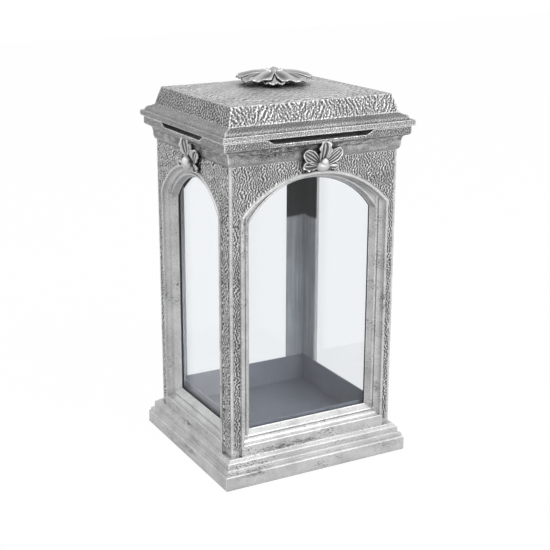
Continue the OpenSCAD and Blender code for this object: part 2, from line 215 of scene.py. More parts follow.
class Weave:
    """A repeating tile of worm-like ridges, such as a hammered casting has:
    noise that keeps only waves of one pitch, mostly along one direction.
    pitch is in millimetres, lean is the ridges' angle from upright and spread
    how far they stray, in degrees, and band is how far the pitch varies."""

    SIZE, STEP = 512, 0.25  # the tile's points on a side, and their distance

    def __init__(self, pitch, lean, spread, seed, band=0.22):
        rng = np.random.default_rng(seed)
        places = np.fft.fftfreq(self.SIZE, self.STEP)
        fx, fy = np.meshgrid(places, places)
        ring = np.exp(-(((np.hypot(fx, fy) * pitch - 1) / band) ** 2))
        off = (np.arctan2(fy, fx) - math.radians(lean) + math.pi / 2) % math.pi
        fan = np.exp(-(((off - math.pi / 2) / math.radians(spread)) ** 2))
        noisy = np.fft.fft2(rng.standard_normal((self.SIZE, self.SIZE)))
        tile = np.fft.ifft2(noisy * ring * fan).real
        self.tile = tile / tile.std()

    def __call__(self, u, v):
        """The tile's height at two places in millimetres."""
        x, y = u / self.STEP, v / self.STEP
        x0, y0 = np.floor(x).astype(np.int64), np.floor(y).astype(np.int64)
        fx, fy = x - x0, y - y0
        x0, y0 = x0 % self.SIZE, y0 % self.SIZE
        x1, y1 = (x0 + 1) % self.SIZE, (y0 + 1) % self.SIZE
        low = self.tile[y0, x0] * (1 - fx) + self.tile[y0, x1] * fx
        high = self.tile[y1, x0] * (1 - fx) + self.tile[y1, x1] * fx
        return low * (1 - fy) + high * fy


WALL_WEAVE = Weave(1.75, 0, 62, 1, 0.36)
LEFT_BARK, RIGHT_BARK = Weave(2.8, 27, 38, 2, 0.45), Weave(2.8, -24, 34, 3, 0.45)
PEBBLE = Weave(1.7, 0, 90, 4, 0.4)
WRINKLES = Weave(4.0, 80, 60, 5, 0.45)
GRAIN = Weave(1.1, 0, 90, 6, 0.35)


# ---- meshes ----


def add_piece(name, verts, faces, material, body, relief=None, sharp=None):
    """A mesh piece from points in millimetres. relief is stored per point, so
    that the material can darken the furrows. Edges stay hard where the faces
    turn by more than sharp degrees, if given."""
    mesh = bpy.data.meshes.new(name)
    mesh.from_pydata((np.asarray(verts) * MM).tolist(), [], faces)
    mesh.validate()
    mesh.polygons.foreach_set("use_smooth", [True] * len(mesh.polygons))
    if relief is not None:
        layer = mesh.attributes.new("relief", "FLOAT", "POINT")
        layer.data.foreach_set("value", np.asarray(relief, dtype=np.float32))
    mesh.materials.append(material)
    piece = bpy.data.objects.new(name, mesh)
    bpy.context.scene.collection.objects.link(piece)
    if sharp is not None:
        mesh.set_sharp_from_angle(angle=math.radians(sharp))
    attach(piece, body)
    return piece


def grid_faces(rows, cols, closed=False):
    """Quads of a grid whose points are stored row by row. closed joins the
    last column to the first."""
    faces = []
    for i in range(rows - 1):
        a, b = i * cols, (i + 1) * cols
        for j in range(cols - 1):
            faces.append((a + j, a + j + 1, b + j + 1, b + j))
        if closed:
            faces.append((a + cols - 1, a, b, b + cols - 1))
    return faces


# ---- materials ----


def node(tree, kind, **inputs):
    """A node with the given inputs set; an underscore stands for a space."""
    made = tree.nodes.new(kind)
    for key, value in inputs.items():
        made.inputs[key.replace("_", " ")].default_value = value
    return made


def noise_node(tree, coords, scale, detail=2.0, rough=0.5):
    """Noise with scale bumps to a metre."""
    made = tree.nodes.new("ShaderNodeTexNoise")
    made.inputs["Scale"].default_value = scale
    made.inputs["Detail"].default_value = detail
    made.inputs["Roughness"].default_value = rough
    tree.links.new(coords, made.inputs["Vector"])
    return made.outputs["Fac"]


def ramp(tree, value, stops):
    """Greys or colours that follow value, from (place, grey or colour) stops."""
    made = tree.nodes.new("ShaderNodeValToRGB")
    made.color_ramp.elements.remove(made.color_ramp.elements[1])
    for k, (place, grey) in enumerate(stops):
        if k == 0:
            element = made.color_ramp.elements[0]
            element.position = place
        else:
            element = made.color_ramp.elements.new(place)
        element.color = (grey, grey, grey, 1) if isinstance(grey, float) else (*grey, 1)
    tree.links.new(value, made.inputs["Fac"])
    return made.outputs["Color"]


def math_node(tree, operation, a, b, clamp=False):
    """The result for two numbers or outputs."""
    made = tree.nodes.new("ShaderNodeMath")
    made.operation, made.use_clamp = operation, clamp
    for k, value in enumerate((a, b)):
        if isinstance(value, (int, float)):
            made.inputs[k].default_value = value
        else:
            tree.links.new(value, made.inputs[k])
    return made.outputs[0]


COLOUR_A, COLOUR_B, COLOUR_OUT = 6, 7, 2  # a colour mix node's sockets


def multiply_colour(tree, a, b, fac=1.0):
    """a times b, or a itself where fac is 0."""
    made = tree.nodes.new("ShaderNodeMix")
    made.data_type, made.blend_type = "RGBA", "MULTIPLY"
    if isinstance(fac, float):
        made.inputs["Factor"].default_value = fac
    else:
        tree.links.new(fac, made.inputs["Factor"])
    tree.links.new(a, made.inputs[COLOUR_A])
    tree.links.new(b, made.inputs[COLOUR_B])
    return made.outputs[COLOUR_OUT]


def new_material(name, metallic, roughness):
    """A material, its node tree, its shader and the part's own coordinates."""
    material = bpy.data.materials.new(name)
    material.use_nodes = True
    tree = material.node_tree
    shader = tree.nodes["Principled BSDF"]
    shader.inputs["Metallic"].default_value = metallic
    shader.inputs["Roughness"].default_value = roughness
    coords = tree.nodes.new("ShaderNodeTexCoord").outputs["Object"]
    return material, tree, shader, coords


def stained(tree, coords, places):
    """1 in the middle of each place, fading to 0 at its edge. A place is a
    middle and a reach along x, y and z, in millimetres."""
    total = None
    for middle, reach in places:
        scale = [1 / (r * MM) for r in reach]
        local = node(tree, "ShaderNodeMapping", Scale=scale)
        local.inputs["Location"].default_value = [-m * MM * s for m, s in zip(middle, scale)]
        tree.links.new(coords, local.inputs["Vector"])
        away = tree.nodes.new("ShaderNodeVectorMath")
        away.operation = "LENGTH"
        tree.links.new(local.outputs[0], away.inputs[0])
        spot = ramp(tree, away.outputs["Value"], [(0.35, 1.0), (1.0, 0.0)])
        total = spot if total is None else math_node(tree, "MAXIMUM", total, spot)
    return total


# How far occlusion looks, in metres: into hollows, and behind a worn edge.
HOLLOW_REACH, ARRIS_REACH = 0.006, 0.001


def cast_metal(
    name, light, relief=False, grain=0.25, pits=1.0, wear=1.0, top=1.0,
    furrow=0.16, crest=1.6, hollows=0.26, stains=(),
):
    """Antiqued cast aluminium: rubbed bright on its arrises, with a painted
    highlight by the factor top where it faces up, and with dark patina and
    painted shade in its hollows and dark pits. furrow and crest are the shares
    of the colour at the lowest and highest relief, hollows its share of the
    colour in the deepest corners, as patina and painted shade, and stains the
    places that kept most patina."""
    material, tree, shader, coords = new_material(name, metallic=0.55, roughness=0.42)
    link = tree.links.new
    clouds = noise_node(tree, coords, 55, 4, 0.6)
    patches = ramp(tree, clouds, [(0.3, light * 0.78), (0.52, light), (0.72, light * 1.12)])
    dust = noise_node(tree, coords, 1400, 2, 0.6)
    speck = ramp(tree, dust, [(0.32, 1 - 1.9 * grain), (0.5, 1.0), (0.7, 1.0 + grain)])
    colour = multiply_colour(tree, patches, speck)
    facing = tree.nodes.new("ShaderNodeSeparateXYZ")
    link(tree.nodes.new("ShaderNodeNewGeometry").outputs["Normal"], facing.inputs[0])
    if pits:
        # dark pits in drifts and in the stained places, fewer where it faces up
        smeared = node(tree, "ShaderNodeMapping", Scale=(1, 1, 2.2))
        link(coords, smeared.inputs["Vector"])
        spread = smeared.outputs[0]
        hole = ramp(tree, noise_node(tree, spread, 620, 2, 0.6), [(0.4, 0.15), (0.47, 1.0)])
        where = ramp(tree, noise_node(tree, spread, 24, 3, 0.6), [(0.5, 0.0), (0.66, pits)])
        if stains:
            spot = stained(tree, coords, stains)
            where = math_node(tree, "MAXIMUM", where, spot)
            cloudy = ramp(tree, noise_node(tree, spread, 130, 3, 0.6), [(0.34, 0.4), (0.62, 1.0)])
            colour = multiply_colour(tree, colour, cloudy, spot)
        upright = ramp(tree, facing.outputs["Z"], [(0.3, 1.0), (0.7, 0.25)])
        where = math_node(tree, "MULTIPLY", where, upright)
        colour = multiply_colour(tree, colour, hole, where)
    # patina and painted shade: occlusion darkens the hollows, and also under overhangs and under
    # the rosette, where shade falls
    hollow = occlusion(tree, HOLLOW_REACH, False)
    shade = ramp(tree, hollow, [(0.2, hollows), (0.5, 0.62 + 0.4 * hollows), (0.8, 1.0)])
    colour = multiply_colour(tree, colour, shade)
    if wear:
        worn = ramp(tree, occlusion(tree, ARRIS_REACH, True), [(0.55, 1 + 0.6 * wear), (0.9, 1.0)])
        colour = multiply_colour(tree, colour, worn)
    # painted highlight: faces that point up are painted brighter by the factor top
    if top != 1.0:
        painted_highlight = ramp(tree, facing.outputs["Z"], [(0.05, 1.0), (0.5, top)])
        colour = multiply_colour(tree, colour, painted_highlight)
    if relief:
        attribute = tree.nodes.new("ShaderNodeAttribute")
        attribute.attribute_name = "relief"
        stops = [(0.0, furrow), (0.4, 0.4 + 0.6 * furrow), (0.75, 1.05), (1.0, crest)]
        ridges = ramp(tree, attribute.outputs["Fac"], stops)
        colour = multiply_colour(tree, colour, ridges)
    link(colour, shader.inputs["Base Color"])
    fine = node(tree, "ShaderNodeBump", Strength=0.12, Distance=0.0003)
    link(noise_node(tree, coords, 900, 3, 0.6), fine.inputs["Height"])
    link(fine.outputs[0], shader.inputs["Normal"])
    rough = ramp(tree, noise_node(tree, coords, 300, 2), [(0.3, 0.36), (0.7, 0.52)])
    link(rough, shader.inputs["Roughness"])
    return material


OCCLUSION_SAMPLES = 6


def occlusion(tree, distance, inside):
    """Dark in hollows, or where inside is true on the arrises of a solid.
    distance is how far it looks, in metres."""
    made = tree.nodes.new("ShaderNodeAmbientOcclusion")
    made.samples = OCCLUSION_SAMPLES
    made.inside, made.only_local = inside, inside
    made.inputs["Distance"].default_value = distance
    return made.outputs["AO"]


# The wavy lower edge of the darkening above a height: its waves in metres, and one over its depth.
DARK_EDGE_WAVE, DARK_EDGE_FADE = 0.006, 500


def dark_paint(name, colour, roughness, dark_above=None, corners=None):
    """Satin paint. corners darkens it within that many metres of what it meets, as painted shade.
    With a height in millimetres after its roughness, it streaks the paint and
    blackens it above that height on the faces that point at the lantern's middle."""
    material, tree, shader, coords = new_material(name, 0.0, roughness)
    cloud = noise_node(tree, coords, 40, 3, 0.6)
    low = tuple(c * 0.86 for c in colour)
    high = tuple(c * 1.12 for c in colour)
    shown = ramp(tree, cloud, [(0.3, low), (0.7, high)])
    # painted shade: occlusion darkens the paint near the parts it meets
    if corners:
        corner_shade = ramp(tree, occlusion(tree, corners, False), [(0.3, 0.9), (0.85, 1.0)])
        shown = multiply_colour(tree, shown, corner_shade)
    if dark_above:
        shader.inputs["Specular IOR Level"].default_value = 0.15
        stretched = node(tree, "ShaderNodeMapping", Scale=(1, 1, 0.04))
        tree.links.new(coords, stretched.inputs["Vector"])
        streaks = noise_node(tree, stretched.outputs[0], 420, 2, 0.6)
        shown = multiply_colour(tree, shown, ramp(tree, streaks, [(0.35, 0.8), (0.65, 1.15)]))
        # blackened above the given height, with a wavy edge, on the faces that point inwards
        height = tree.nodes.new("ShaderNodeSeparateXYZ")
        tree.links.new(coords, height.inputs[0])
        wave = math_node(tree, "MULTIPLY", cloud, DARK_EDGE_WAVE)
        level = math_node(tree, "ADD", height.outputs["Z"], wave)
        above = math_node(tree, "SUBTRACT", level, dark_above * MM)
        facing = tree.nodes.new("ShaderNodeVectorMath")
        facing.operation = "DOT_PRODUCT"
        tree.links.new(tree.nodes.new("ShaderNodeNewGeometry").outputs["Normal"], facing.inputs[0])
        tree.links.new(coords, facing.inputs[1])
        outward = math_node(tree, "GREATER_THAN", facing.outputs["Value"], 0.0)
        above = math_node(tree, "SUBTRACT", above, outward)  # a metre down: not blackened
        darkening = math_node(tree, "MULTIPLY", above, DARK_EDGE_FADE)
        black = ramp(tree, darkening, [(0.0, 1.0), (1.0, 0.05)])
        shown = multiply_colour(tree, shown, black)
    tree.links.new(shown, shader.inputs["Base Color"])
    fine = node(tree, "ShaderNodeBump", Strength=0.08, Distance=0.0002)
    tree.links.new(noise_node(tree, coords, 1200, 2), fine.inputs["Height"])
    tree.links.new(fine.outputs[0], shader.inputs["Normal"])
    return material


def clear_glass(name):
    """A faintly tinted pane that lets the lamps' light through."""
    material, tree, shader, coords = new_material(name, 0.0, 0.0)
    shader.inputs["Transmission Weight"].default_value = 1.0
    shader.inputs["IOR"].default_value = 1.3  # low, for the photograph's dim reflections
    shader.inputs["Specular IOR Level"].default_value = 0.25
    stops = [(0.3, (0.925, 0.94, 0.955)), (0.7, (0.935, 0.948, 0.96))]
    tint = ramp(tree, noise_node(tree, coords, 12, 1), stops)
    tree.links.new(tint, shader.inputs["Base Color"])
    out = tree.nodes["Material Output"]
    path = tree.nodes.new("ShaderNodeLightPath")
    clear = node(tree, "ShaderNodeBsdfTransparent", Color=(0.93, 0.95, 0.96, 1))
    mix = tree.nodes.new("ShaderNodeMixShader")
    tree.links.new(path.outputs["Is Shadow Ray"], mix.inputs[0])
    tree.links.new(shader.outputs[0], mix.inputs[1])
    tree.links.new(clear.outputs[0], mix.inputs[2])
    tree.links.new(mix.outputs[0], out.inputs["Surface"])
    return material


def dress(material, *names):
    """Gives carried-over CAD nodes their material."""
    for name in names:
        mesh = nodes[name].data
        mesh.materials.clear()
        mesh.materials.append(material)


# ---- walls ----
# Points on a wall are given as the place across it, the height and the
# distance out of it, and each of these puts them on its side of the case.


def on_front(p):
    return np.stack([p[:, 0], -HD - p[:, 2], p[:, 1]], 1)


def on_back(p):
    return np.stack([-p[:, 0], HD + p[:, 2], p[:, 1]], 1)


def on_left(p):
    return np.stack([-HW - p[:, 2], -p[:, 0], p[:, 1]], 1)


def on_right(p):
    return np.stack([HW + p[:, 2], p[:, 0], p[:, 1]], 1)


def into_window(x, z, half):
    """How far a point of the wall lies inside the window's outline, which
    takes in the plain band under the sill."""
    radius = (half**2 + ARCH_RISE**2) / (2 * ARCH_RISE)
    under_arch = radius - np.hypot(x, z - (APEX_Z - radius))
    beside = half - np.abs(x)
    return np.where(z > KINK_Z, np.minimum(beside, under_arch), beside)


def wall_texture(name, place, edge, half, shift, material, stretch=1.0, depth_mm=0.55):
    """The hammered skin round one window, as a closed sheet on the wall, edge
    to either side of its middle. It rises where it meets the window's fillet.
    half is half the window's width, shift moves the pattern on, stretch widens
    the ridges and depth_mm is their height."""
    foot, top_z = WALL_Z + 0.3, COR_Z - 0.05
    lap, under = 1.2, -0.9  # how far it goes on into the fillet, and its underside
    xs = np.linspace(-edge, edge, int(2 * edge / SKIN_DX) + 1)
    zs = np.linspace(foot, top_z, int((top_z - foot) / SKIN_DZ) + 1)
    x, z = np.meshgrid(xs, zs)
    depth = into_window(x, z, half)
    bent = x + 1.8 * noise(x / 9, z / 9, shift) + shift * 37
    weave = WALL_WEAVE(bent / stretch, z + 1.5 * noise(x / 8, z / 8, shift + 50))
    relief = smooth(-1.0, 1.0, weave + 0.4 * GRAIN(x + shift * 11, z))
    fade = smooth(0, 1.2, edge - np.abs(x)) * smooth(0.2, -1.0, depth)
    fade = fade * smooth(3.0, 6.5, z - foot + 1.5 * noise(x / 4, z / 9, shift + 60))
    fade = fade * smooth(0, 0.8, top_z - z)
    lift = -0.06 + fade * (0.08 + depth_mm * relief) + 1.5 * smooth(-1.3, 0.2, depth)
    keep = depth < lap
    cell = keep[:-1, :-1] & keep[1:, :-1] & keep[:-1, 1:] & keep[1:, 1:]
    top = np.stack([x.ravel(), z.ravel(), lift.ravel()], 1)
    verts, faces, used = sheet(top, cell, x.shape, under)
    add_piece(
        name, place(verts), faces, material, "lantern_case",
        relief=(relief * fade + 0.62 * (1 - fade)).ravel()[used],
    )


def sheet(top, cell, shape, floor):
    """Closes the kept cells of a height field with an underside at floor. The
    last of what it gives is each point's place in the field."""
    rows, cols = shape
    index = np.arange(rows * cols).reshape(rows, cols)
    a, b = index[:-1, :-1][cell], index[:-1, 1:][cell]
    c, d = index[1:, 1:][cell], index[1:, :-1][cell]
    quads = np.stack([a, b, c, d], 1)
    used = np.unique(quads)
    fresh = np.full(rows * cols, -1)
    fresh[used] = np.arange(len(used))
    quads = fresh[quads]
    count = len(used)
    bottom = top[used].copy()
    bottom[:, 2] = floor
    edges = {}
    for quad in quads.tolist():
        for k in range(4):
            edges[(quad[k], quad[(k + 1) % 4])] = True
    rim = [(q, p, p + count, q + count) for (p, q) in edges if (q, p) not in edges]
    faces = quads.tolist() + (quads[:, ::-1] + count).tolist() + rim
    return np.concatenate([top[used], bottom]), faces, np.concatenate([used, used])


# ---- lid and cornice: profiles swept round the case ----


def walk_round(n, m):
    """Points round a rectangle's edge from -1 to 1, in n steps along x and m
    along y, the side each lies on and the way that side faces."""
    u = np.linspace(-1, 1, n + 1)
    w = np.linspace(-1, 1, m + 1)
    sx = np.concatenate([u[:-1], np.ones(m), u[:0:-1], -np.ones(m)])
    sy = np.concatenate([-np.ones(n), w[:-1], np.ones(n), w[:0:-1]])
    side = np.repeat([0, 1, 2, 3], [n, m, n, m])
    way = np.array([(0, -1), (1, 0), (0, 1), (-1, 0)])[side]
    return sx, sy, side, way


def loft(rows, base, walk, texture, drop=None):
    """Sweeps rows of [out, up, kind, share] round the case. texture gives
    the push out of the surface and the relief; drop lowers a row by its share."""
    sx, sy, side, way = walk
    wide = side % 2 == 0
    tangent = np.gradient(rows[:, :2], axis=0)
    normal = np.stack([-tangent[:, 1], tangent[:, 0]], 1)
    normal /= np.maximum(np.linalg.norm(normal, axis=1), 1e-9)[:, None]
    verts, reliefs = [], []
    for (out, up, kind, share), (n_out, n_up) in zip(rows, normal):
        x, y = sx * (HW + out), sy * (HD + out)
        along = np.where(wide, x, y)
        reach = np.where(wide, HW, HD) + out
        arris = smooth(0, ARRIS, reach - np.abs(along))
        level = np.full(len(sx), base + up)
        if drop:
            level = level - share * drop(along, wide)
        push, relief = texture(int(kind), along + SIDE_SHIFT * side, level, out, up, wide)
        push = push * arris
        x = x + way[:, 0] * n_out * push
        y = y + way[:, 1] * n_out * push
        verts.append(np.stack([x, y, level + n_up * push], 1))
        reliefs.append(relief * arris + RUBBED * (1 - arris))
    return np.concatenate(verts), np.concatenate(reliefs)


def run(rows, a, b, count, kind, share_a=0.0, share_b=0.0):
    """Adds count rows from a up to just before b, as [out, up, kind, share]."""
    for k in range(count):
        t = k / count
        out, up = a[0] + (b[0] - a[0]) * t, a[1] + (b[1] - a[1]) * t
        rows.append((out, up, kind, share_a + (share_b - share_a) * t))


PLAIN, SLOPE, BEVEL, BEADED, COVE, FILLET = range(6)


def lid_profile():
    """Rows from the top edge down the outside of the lid and up inside."""
    rows = []
    run(rows, (-LID_INSET, LID_H), (-1.4, 15.4), 14, SLOPE)
    run(rows, (-1.4, 15.4), SLOPE_FOOT, 14, SLOPE)
    run(rows, SLOPE_FOOT, (RIM - 7.2, 8.0), 3, BEVEL)
    run(rows, (RIM - 7.2, 8.0), (RIM - 6.1, 7.3), 2, BEVEL)
    turns = 6  # steps round the curve
    for k in range(turns, 0, -1):
        a = math.pi / 2 * k / turns
        out, up = RIM - 2.6 - 3.5 * (1 - math.cos(a)), 4.2 + 3.1 * math.sin(a)
        rows.append((out, up, BEVEL, 0))
    run(rows, (RIM - 2.6, 4.2), (RIM - 0.4, 3.9), 3, BEVEL)
    run(rows, (RIM - 0.4, 3.9), (RIM, 3.5), 1, PLAIN)
    run(rows, (RIM, 3.5), (RIM, 0.4), 7, BEADED)
    run(rows, (RIM, 0.4), (RIM - 0.4, 0), 1, PLAIN)
    inside = ((-0.4, 0), (-5, 0), (-5, 1.5), (0.8 - RIM, 6), (-2.6 - RIM, 9))
    for out, up in inside:
        rows.append((RIM + out, up, PLAIN, 0))
    rows.append((-6.0, TOP_Z - LID_T - LID_Z, PLAIN, 0))
    return np.array(rows)


def cast_texture(kind, along, level, out, up, wide):
    """Push and relief of each kind of row on the lid and the cornice. wide
    tells the front and the back, which differ from the sides."""
    if kind == SLOPE:
        # ridges that lean left or right in turn, and pebbles between them
        turn = smooth(-0.25, 0.25, noise(along / 26, level / 30, 20))
        bark = LEFT_BARK(along, level) * (1 - turn) + RIGHT_BARK(along, level) * turn
        bark = bark / np.sqrt(turn**2 + (1 - turn) ** 2)
        pebble = PEBBLE(along, level)
        low = smooth(14, 9, level - LID_Z)
        bark = bark * (0.85 - 0.4 * low) + (0.75 + 0.3 * low) * pebble
        front = 0.95 * smooth(-1.4, 1.6, bark)
        side = 0.02 + 0.78 * smooth(-1.1, 1.1, PEBBLE(along * 0.62, level * 0.9))
        relief = np.where(wide, front, side)
        edge = smooth(SLOPE_FOOT[1], 9.6, up) * smooth(LID_H, 20.4, up)
        return (relief - 0.7) * 0.8 * edge, relief * edge + RUBBED * (1 - edge)
    if kind == BEVEL:
        fine = smooth(-1.5, 1.5, PEBBLE(along, (level - out) * 0.9))
        worn = np.where(wide, 0.08, 0.26)
        return (fine - 0.9) * 0.3, worn + 0.54 * fine
    if kind == BEADED:
        fine = smooth(-1, 1, PEBBLE(along * 1.15, level * 1.2))
        on_lid = level > LID_Z
        low = np.where(on_lid, 0.24, np.where(wide, 0.1, 0.3))
        return (fine - on_lid) * 0.35, low + np.where(wide, 0.66, 0.5) * fine
    if kind == COVE:
        streak = noise(along / 5, level / 0.8, 90) + 0.6 * noise(along / 1.2, level / 0.9, 91)
        return 0.03 * streak, 0.4 + 0.4 * streak
    if kind == FILLET:
        pits = smooth(-0.8, 0.8, GRAIN(along, level))
        patch = smooth(-0.5, 0.3, noise(along / 9, level / 6, 93))
        pitted = patch * (1 - pits)
        return 0.15 * (1 - pitted), 0.72 - 0.5 * pitted
    return np.zeros(len(along)), np.full(len(along), 0.75)


def lid_lugs():
    """Four angle lugs under the lid, as closed L-shaped prisms."""
    x, y = HW - PANEL_T - LUG_GAP, HD - PANEL_T - LUG_GAP
    low, high = PAD_Z - LUG_DOWN, TOP_Z - LID_T + 0.5  # just into the lid's top
    w, t = LUG_W, LUG_T
    outline = ((0, 0), (-w, 0), (-w, -t), (-t, -t), (-t, -w), (0, -w))
    verts, faces = [], []
    for sx in (-1, 1):
        for sy in (-1, 1):
            ring = [(sx * (x + a), sy * (y + b)) for a, b in outline]
            if sx * sy > 0:
                ring = ring[::-1]
            start, n = len(verts), len(ring)
            verts += [(a, b, low) for a, b in ring] + [(a, b, high) for a, b in ring]
            for k in range(n):
                j = (k + 1) % n
                faces.append((start + k, start + k + n, start + j + n, start + j))
            faces.append(tuple(start + k for k in range(n)))
            faces.append(tuple(start + n + k for k in range(n - 1, -1, -1)))
    return verts, faces


def lid_top(before):
    """Points, relief and faces of the lid's hammered top. Its edge is the
    profile's first ring, and before counts the profile's points."""
    n, m = STEPS_X, STEPS_Y
    half_x, half_y = HW - LID_INSET, HD - LID_INSET
    gx, gy = np.meshgrid(np.linspace(-1, 1, n + 1) * half_x, np.linspace(-1, 1, m + 1) * half_y)
    radius = np.hypot(gx, gy)
    ball = (CROWN_R**2 + CROWN_RISE**2) / (2 * CROWN_RISE)
    dome = np.sqrt(np.maximum(ball**2 - radius**2, 0)) - (ball - CROWN_RISE)
    step = CROWN_STEP * smooth(CROWN_R, CROWN_R - CROWN_STEP_W, radius)
    dome = np.maximum(dome, 0) + step
    grain = smooth(-1.4, 1.4, WRINKLES(gx, gy) + 0.4 * PEBBLE(gx, gy))
    strong = 0.45 + 0.55 * smooth(48, 56, radius)
    rim = smooth(0, 1.2, np.minimum(half_x - np.abs(gx), half_y - np.abs(gy)))
    gz = TOP_Z + dome + (grain - 0.8) * 0.5 * strong * rim
    index = np.full((m + 1, n + 1), -1)
    index[0, :-1] = np.arange(n)
    index[:-1, -1] = n + np.arange(m)
    index[-1, :0:-1] = n + m + np.arange(n)
    index[:0:-1, 0] = 2 * n + m + np.arange(m)
    inner = index < 0
    index[inner] = before + np.arange(inner.sum())
    # painted highlight: a bright ring at the foot of the crown. Painted light: inside radius 48 mm
    # the relief is raised, so the crown is painted lighter against the shade round the rosette
    painted_highlight = 0.14 * np.exp(-(((radius - CROWN_R + 1.5) / 1.6) ** 2))
    shade = 0.76 - 0.16 * strong + (grain - 0.5) * 0.8 * strong + painted_highlight
    corners = [index[:-1, :-1], index[:-1, 1:], index[1:, 1:], index[1:, :-1]]
    quads = np.stack(corners, -1).reshape(-1, 4)
    return np.stack([gx[inner], gy[inner], gz[inner]], 1), shade[inner], quads.tolist()


def make_lid(material):
    """The lid's sides, hollow inside, with its top and its lugs."""
    rows = lid_profile()
    verts, relief = loft(rows, LID_Z, walk_round(STEPS_X, STEPS_Y), cast_texture)
    count, before = 2 * (STEPS_X + STEPS_Y), len(verts)
    faces = [f[::-1] for f in grid_faces(len(rows), count, closed=True)]
    faces.append(tuple(range(before - count, before)))
    top_verts, top_relief, top_faces = lid_top(before)
    lug_verts, lug_faces = lid_lugs()
    before += len(top_verts)
    faces += top_faces + [tuple(before + k for k in face) for face in lug_faces]
    verts = np.concatenate([verts, top_verts, lug_verts])
    relief = np.concatenate([relief, top_relief, np.full(len(lug_verts), 0.6)])
    lid = add_piece(
        "lid_casting", verts, faces, material, "lid",
        relief=relief, sharp=50,
    )
    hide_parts("lid_shell")


def notch(along, wide):
    """How far the vent notch lowers the cornice's upper edge."""
    half = np.where(wide, VENT_FRONT, VENT_SIDE)
    return VENT_H * np.clip((half - np.abs(along)) / VENT_SLOPE, 0, 1)


def cornice_profile():
    """Rows from the upper edge down the cornice's face, just proud of the
    casting, and back up inside it."""
    rows = []
    run(rows, (6.9 + PROUD, 16.97), (6.9 + PROUD, 11.5), 12, BEADED, 1.0, 0.0)
    run(rows, (6.9 + PROUD, 11.5), (6.2 + PROUD, 11.0), 1, PLAIN)
    run(rows, (6.2 + PROUD, 11.0), (5.4 + PROUD, 10.4), 2, COVE)
    turns = 8  # steps round the curve
    for k in range(turns):
        a = math.pi / 2 * (1 - k / turns)
        out = 2.2 + 3.2 * (1 - math.cos(a)) + PROUD
        rows.append((out, 6.8 + 3.6 * math.sin(a), COVE, 0))
    run(rows, (2.2 + PROUD, 6.8), (1.9 + PROUD, 6.2), 1, COVE)
    run(rows, (1.9 + PROUD, 6.2), (1.8 + PROUD, 2.6), 6, FILLET)
    run(rows, (1.8 + PROUD, 2.6), (0.2 + PROUD, 0.0), 5, FILLET)
    inside = ((0.3, -0.02, 0), (-0.4, 0.1, 0), (0.6, 6.5, 0), (4.9, 11.8, 0), (5.9, 16.6, 1))
    for out, up, share in inside:
        rows.append((out, up, PLAIN, share))
    return np.array(rows)


def make_cornice(material):
    """The moulded face of the cornice, with its vent notches. Its uppermost
    rows are rubbed brightest."""
    rows = cornice_profile()
    verts, relief = loft(rows, COR_Z, walk_round(STEPS_X, STEPS_Y), cast_texture, notch)
    count, total = 2 * (STEPS_X + STEPS_Y), len(rows)
    relief[: 2 * count] = np.maximum(relief[: 2 * count], 0.95)
    faces = [f[::-1] for f in grid_faces(total, count, closed=True)]
    last = (total - 1) * count
    for j in range(count):
        k = (j + 1) % count
        faces.append((j, k, last + k, last + j))
    add_piece(
        "cornice_face", verts, faces, material, "lantern_case",
        relief=relief, sharp=40,
    )


# ---- leaves ----


def close_grid(top, under):
    """A closed mesh from two grids of points, one over the other."""
    rows, cols = top.shape[:2]
    index = np.arange(rows * cols).reshape(rows, cols)
    faces = grid_faces(rows, cols)
    below = rows * cols
    faces += [tuple(below + k for k in face[::-1]) for face in faces]
    edge = list(index[0, :]) + list(index[1:, -1])
    edge += list(index[-1, -2::-1]) + list(index[-2:0:-1, 0])
    for k, a in enumerate(edge):
        b = edge[(k + 1) % len(edge)]
        faces.append((b, a, below + a, below + b))
    verts = np.concatenate([top.reshape(-1, 3), under.reshape(-1, 3)])
    return verts, [tuple(int(v) for v in face) for face in faces]


def join(parts):
    """One mesh from several [points, faces, relief] parts."""
    verts, faces, relief, start = [], [], [], 0
    for points, polygons, levels in parts:
        verts.append(points)
        relief.append(levels)
        faces += [tuple(start + k for k in face) for face in polygons]
        start += len(points)
    return np.concatenate(verts), faces, np.concatenate(relief)


